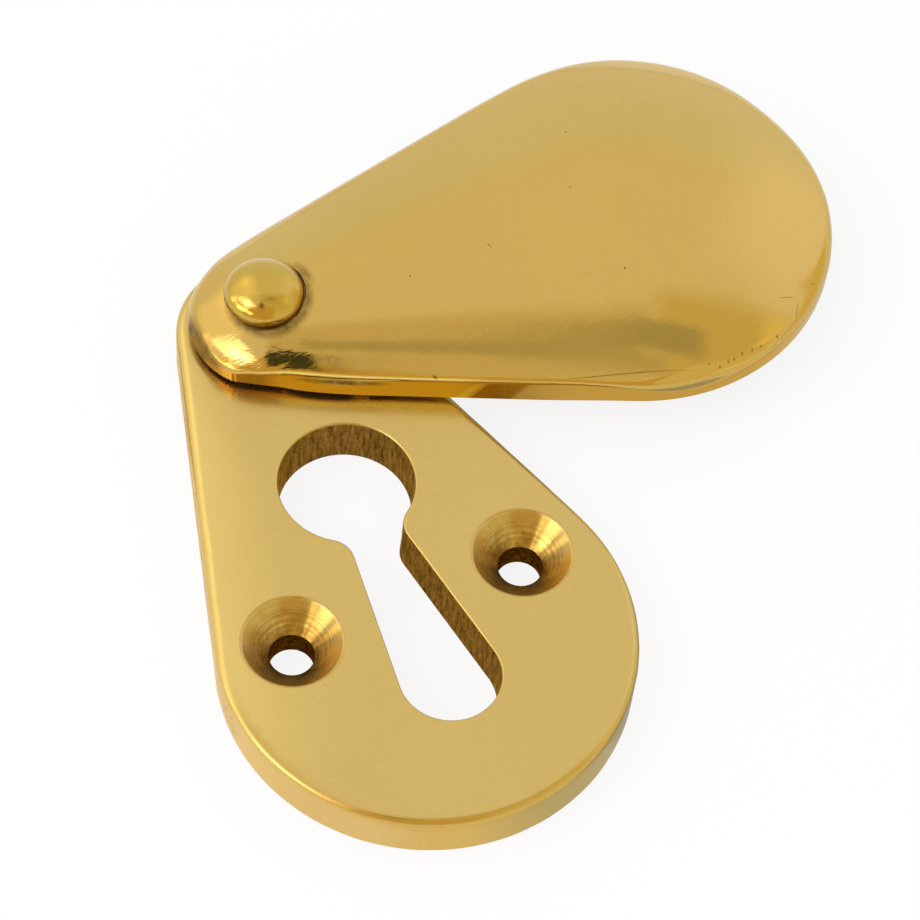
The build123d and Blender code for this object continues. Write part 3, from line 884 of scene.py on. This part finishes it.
stageLook = dict(
    middle=(12, 16, 5), floorSize=3.0, floorLevel=-0.1, floorTint=(0.9, 0.9, 0.9),
    floorGlow=0.85, skyLight=0.86,
    key=dict(azimuth=-86, elevation=48.4, distance=0.6, size=(0.437, 0.255), power=1.3),
    cards=[  # azimuth, elevation, half width and half height in degrees, distance, tint, soft share, lean
        ("farWall", 149, 20, 45, 22, 1.4, (0.95, 1.03, 1.15), 0.6),
        ("rightWall", 100, 30, 24, 34, 1.3, (1.12, 1.14, 1.36), 0.8),
        ("leftWall", -140, 46, 32, 26, 1.3, (1.26, 1.24, 1.18), 0.45),
        ("leftWindow", -158, 42, 17, 26, 1.2, (1.6, 1.48, 1.3), 1.0),
        ("warmWall", -20, 36, 62, 30, 1.1, (0.82, 0.62, 0.25), 0.3),
        ("lowWindow", 26, 8, 16, 5, 1.0, (1.12, 1.05, 0.85), 0.5),
        ("rightScrim", 45.2, 56, 27, 18, 0.98, (0.86, 0.78, 0.48), 0.45),
        ("leftScrim", -27, 76, 12, 16, 0.9, (0.87, 0.81, 0.66), 0.4),
        ("yellowCard", 59, 40, 9, 10, 0.85, (1.12, 1.02, 0.57), 0.6),
        ("rightLow", 75, 14, 34, 16, 1.25, (0.95, 0.82, 0.48), 0.5),
        ("nearCard", 3, 68.5, 7, 4.5, 0.75, (0.72, 0.67, 0.50), 0.7),
        ("overCard", 30.5, 71.4, 14, 5.4, 0.7, (0.57, 0.55, 0.42), 0.45),
        ("bandCard", -18.6, 74.6, 8, 3.8, 0.65, (0.62, 0.605, 0.46), 0.6),
        ("keyCard", -93, 47.9, 14.6, 11.5, 0.6, (2.7, 2.6, 3.0), 0.3, -0.9),
        ("keyCore", -86, 49, 9, 5, 0.55, (3.8, 4.2, 9.0), 0.9, -0.9),
        ("keyLow", -89, 26.5, 18, 9, 0.62, (5.2, 4.8, 3.6), 0.45),
        ("keySide", -118, 19, 13, 8, 0.62, (2.8, 2.5, 1.8), 0.5),
        ("keyNear", -65, 29, 7, 7, 0.62, (4.0, 3.7, 2.7), 0.6),
        ("sideCard", 25, 27, 24, 30, 1.05, (0.95, 0.88, 0.58), 0.3),
        ("lensCard", -39.2, 61.7, 5, 7, 0.4, (0.05, 0.06, 0.04), 0.2)],
    # painted floor light and shade, seen only in reflections: the object's shadow, warm bounce from the
    # brass and brighter pools
    paintedFloorLight=[  # x, y, half width and half length in millimetres, tint, soft share of the edge
        ("floorWarmBounce", 32, 8, 24, 12, (0.85, 0.72, 0.42), 0.6),
        ("floorDeepShade", 20.0, 11.5, 8, 5, (0.46, 0.28, 0.04), 0.8),
        ("floorFrontLight", -8, -14, 24, 22, (1.04, 0.985, 0.93), 0.3),
        ("floorFarLight", 121, 188, 170, 170, (1.05, 1.12, 1.3), 0.25),
        ("floorPaleLight", -19, -11, 13, 13, (1.16, 1.12, 1.36), 0.5),
        ("floorShade", 13, -22, 19, 8, (0.72, 0.79, 0.98), 0.6),
        ("floorRightShade", 25, -17, 15, 15, (0.54, 0.60, 0.76), 0.2),
        ("floorLeftBounce", -16, 32, 9, 12, (0.72, 0.58, 0.34), 0.6),
        ("floorKeyShade", 0, 3, 12, 16.5, (0.66, 0.58, 0.42), 0.15)],
    floorCardLow=-0.09, floorCardStep=0.008)  # each floor card lies a step above the one before

photoView = dict(  # degrees, millimetres and, for the last two, pixels
    azimuth=-31.1385, elevation=57.4927, roll=-6.3490, distance=295.148, right=4.538, up=13.812,
    focal=3527.575, frame=920)


def aimFrom(azimuth, elevation):
    # direction towards a place seen at these angles, azimuth 0 lying towards -y
    a, e = math.radians(azimuth), math.radians(elevation)
    return Vector((math.sin(a) * math.cos(e), -math.cos(a) * math.cos(e), math.sin(e)))


def levelAcross(azimuth):
    # level direction to the right of a view from that azimuth
    turn = math.radians(azimuth)
    return Vector((math.cos(turn), math.sin(turn), 0))


def placeCamera(s):
    # camera back along its view from the origin, then moved across the picture and rolled
    back = aimFrom(s["azimuth"], s["elevation"])
    level = levelAcross(s["azimuth"])
    upright = back.cross(level)
    roll = math.radians(s["roll"])
    right = math.cos(roll) * level - math.sin(roll) * upright
    up = math.sin(roll) * level + math.cos(roll) * upright
    data = bpy.data.cameras.new("photoCamera")
    data.sensor_width = 36
    data.lens = s["focal"] * data.sensor_width / s["frame"]
    data.clip_start, data.clip_end = 0.01, 20
    camera = bpy.data.objects.new("photoCamera", data)
    scene.collection.objects.link(camera)
    place = (right * s["right"] + up * s["up"] + back * s["distance"]) * mm
    camera.matrix_world = Matrix.Translation(place) @ Matrix((right, up, back)).transposed().to_4x4()
    scene.camera = camera


def facingObject(azimuth, elevation, distance):
    # place at that direction and distance, back turned to the object, width level across the camera's view
    toward = aimFrom(azimuth, elevation)
    level = levelAcross(photoView["azimuth"])
    level = (level - level.dot(toward) * toward).normalized()
    turned = Matrix((level, toward.cross(level), toward)).transposed().to_4x4()
    return Matrix.Translation(Vector(stageLook["middle"]) * mm + toward * distance) @ turned


def quadAt(name, middle, across, along, material):
    # flat four-cornered sheet about its middle
    corners = [middle + i * across + j * along for i, j in ((-1, -1), (1, -1), (1, 1), (-1, 1))]
    mesh = bpy.data.meshes.new(name)
    mesh.from_pydata([tuple(c) for c in corners], [], [(0, 1, 2, 3)])
    mesh.materials.append(material)
    quad = bpy.data.objects.new(name, mesh)
    scene.collection.objects.link(quad)
    return quad


def emptyTree(owner):
    # node tree of a new material or world, with nothing in it
    owner.use_nodes = True
    owner.node_tree.nodes.clear()
    return owner.node_tree


def seenBy(tree, *rays):
    # 1 for rays of these kinds
    path = addNode(tree, "LightPath").outputs
    seen = 0.0
    for ray in rays:
        seen = doMath(tree, "MAXIMUM", seen, path[f"Is {ray} Ray"])
    return seen


def showMix(tree, share, first, second):
    # surface that goes from the first shader to the second by the share
    both = addNode(tree, "MixShader", i0=share, i1=first.outputs[0], i2=second.outputs[0])
    addNode(tree, "OutputMaterial", Surface=both.outputs[0])


def glowCard(name, place, tint, soft, lean=0.0):
    # card with a soft edge that only mirrored rays meet; each level is moved across by the lean
    material = bpy.data.materials.new(name)
    tree = emptyTree(material)
    parts = addNode(tree, "SeparateXYZ", i0=objectSpot(tree)).outputs
    across = doMath(tree, "MULTIPLY_ADD", parts[1], -lean, parts[0])

    def fade(part):
        away = doMath(tree, "ABSOLUTE", part)
        node = addNode(tree, "MapRange", {"interpolation_type": "SMOOTHSTEP"}, i0=away,
                       i1=1 - soft, i2=1.0, i3=1.0, i4=0.0)
        return node.outputs[0]

    shown = doMath(tree, "MULTIPLY", fade(across), fade(parts[1]))
    level = max(tint)
    glow = addNode(tree, "Emission", Color=(*(v / level for v in tint), 1), Strength=level)
    showMix(tree, shown, addNode(tree, "BsdfTransparent"), glow)
    card = quadAt(name, Vector(), Vector((1 + abs(lean), 0, 0)), Vector((0, 1, 0)), material)
    card.matrix_world = place
    card.visible_camera = card.visible_diffuse = card.visible_shadow = card.visible_transmission = False


def reflectorCard(name, azimuth, elevation, halfWidth, halfHeight, distance, tint, soft, lean=0.0):
    # card round the object that spans these angles at its distance
    spans = [distance * math.tan(math.radians(a)) for a in (halfWidth, halfHeight)]
    place = facingObject(azimuth, elevation, distance) @ Matrix.Diagonal((*spans, 1, 1))
    glowCard(name, place, tint, soft, lean)


def floorCard(level, name, x, y, halfWidth, halfLength, tint, soft):
    # card flat on the floor, painting floor light and shade that only mirrored rays see
    size = Matrix.Diagonal((halfWidth * mm, halfLength * mm, 1, 1))
    glowCard(name, Matrix.Translation((x * mm, y * mm, level * mm)) @ size, tint, soft)


def softbox(name, azimuth, elevation, distance, size, power):
    # area lamp that faces the object and isn't mirrored in it
    data = bpy.data.lights.new(name, "AREA")
    data.shape, data.size, data.size_y = "RECTANGLE", size[0], size[1]
    data.energy = power
    lamp = bpy.data.objects.new(name, data)
    scene.collection.objects.link(lamp)
    lamp.matrix_world = facingObject(azimuth, elevation, distance)
    lamp.visible_camera = lamp.visible_glossy = False


def buildStage(s):
    # white floor that keeps a part of its shadow, and a white sky seen at full strength
    material = bpy.data.materials.new("floorWhite")
    tree = emptyTree(material)
    matt = addNode(tree, "BsdfDiffuse", Color=(*s["floorTint"], 1))
    glow = addNode(tree, "Emission", Color=(1, 1, 1, 1))
    seen = seenBy(tree, "Camera", "Transmission")
    showMix(tree, doMath(tree, "MULTIPLY", seen, s["floorGlow"]), matt, glow)
    half = s["floorSize"] / 2
    middle = Vector((0, 0, s["floorLevel"] * mm))
    quadAt("floor", middle, Vector((half, 0, 0)), Vector((0, half, 0)), material)

    world = bpy.data.worlds.new("studio")
    scene.world = world
    tree = emptyTree(world)
    strength = spread(tree, seenBy(tree, "Camera", "Glossy", "Transmission"), 0, 1, s["skyLight"], 1)
    sky = addNode(tree, "Background", Color=(1, 1, 1, 1), Strength=strength)
    addNode(tree, "OutputWorld", Surface=sky.outputs[0])


buildStage(stageLook)
softbox("keySoftbox", **stageLook["key"])
for card in stageLook["cards"]:
    reflectorCard(*card)
for rank, card in enumerate(stageLook["paintedFloorLight"]):
    floorCard(stageLook["floorCardLow"] + stageLook["floorCardStep"] * rank, *card)
placeCamera(photoView)
print("stage, lights and camera placed")
